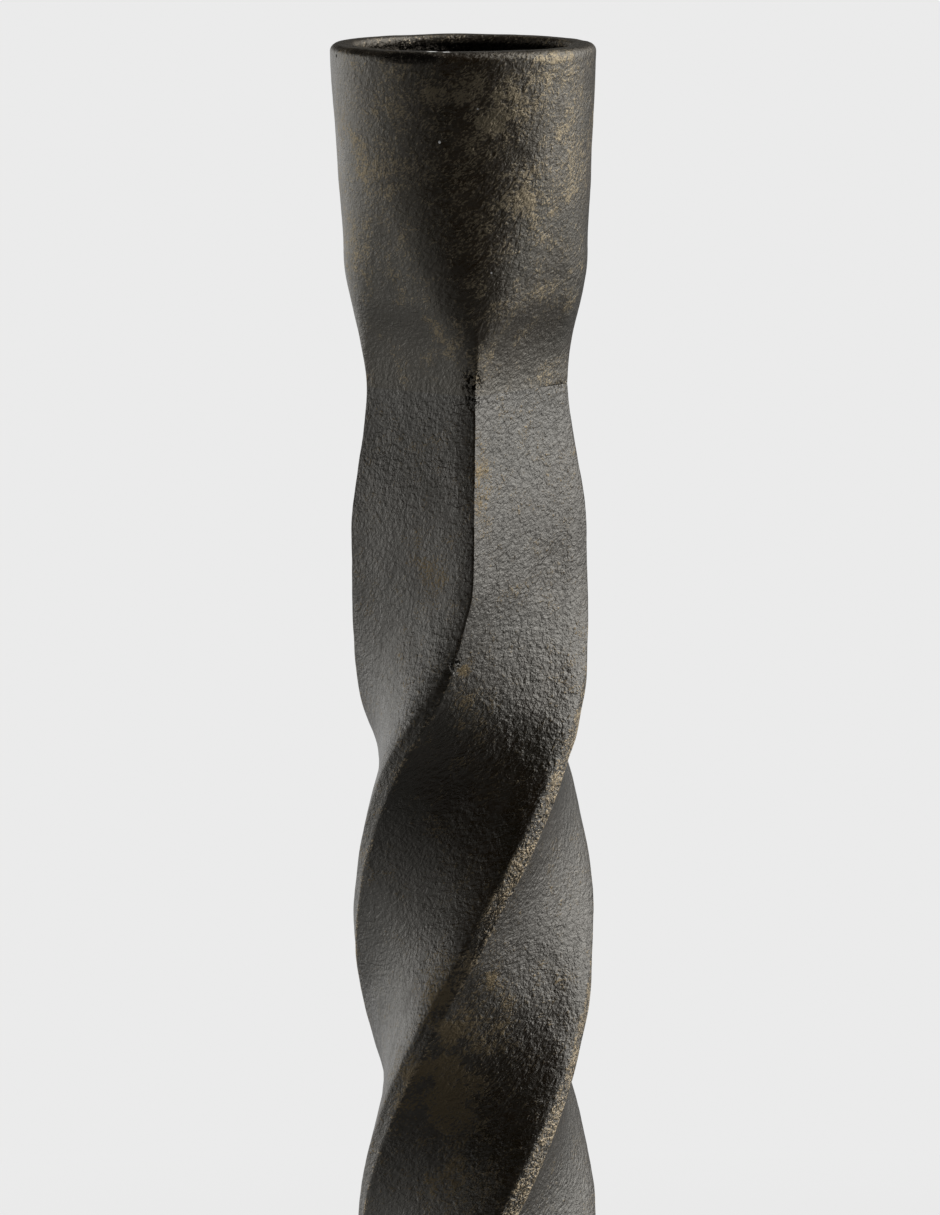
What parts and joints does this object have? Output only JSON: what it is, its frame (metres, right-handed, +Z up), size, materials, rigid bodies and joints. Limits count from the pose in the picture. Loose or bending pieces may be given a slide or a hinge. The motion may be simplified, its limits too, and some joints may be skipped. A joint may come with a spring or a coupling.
{
  "type": "spiral candle holder",
  "caption": "Tall candle holder: a round cast cup with a blind socket for a slim candle, on a twisted square stem that is bolted to a round foot with a felt pad.",
  "frame": {"origin": "on the stem's axis, on the table, under the middle of the felt pad", "axes": "+Z up along the stem to the candle socket; one corner of the stem's straight end faces -Y"},
  "size_m": [0.11, 0.11, 0.31],
  "materials": {
    "cup_casting": "rough sand casting, dark bronze patina rubbed back to brown and gold",
    "stem_casting": "rough sand casting, dark bronze patina rubbed through on the ridges",
    "foot_casting": "rough sand casting, dark bronze patina",
    "fastener_steel": "zinc-plated steel",
    "felt": "pressed wool felt"
  },
  "bodies": {
    "root": {"candle_cup": "cup_casting", "twisted_stem": "stem_casting", "foot": "foot_casting", "cup_stud": "fastener_steel", "foot_bolt": "fastener_steel", "spring_washer": "fastener_steel", "flat_washer": "fastener_steel", "felt_pad": "felt"}
  },
  "joints": []
}
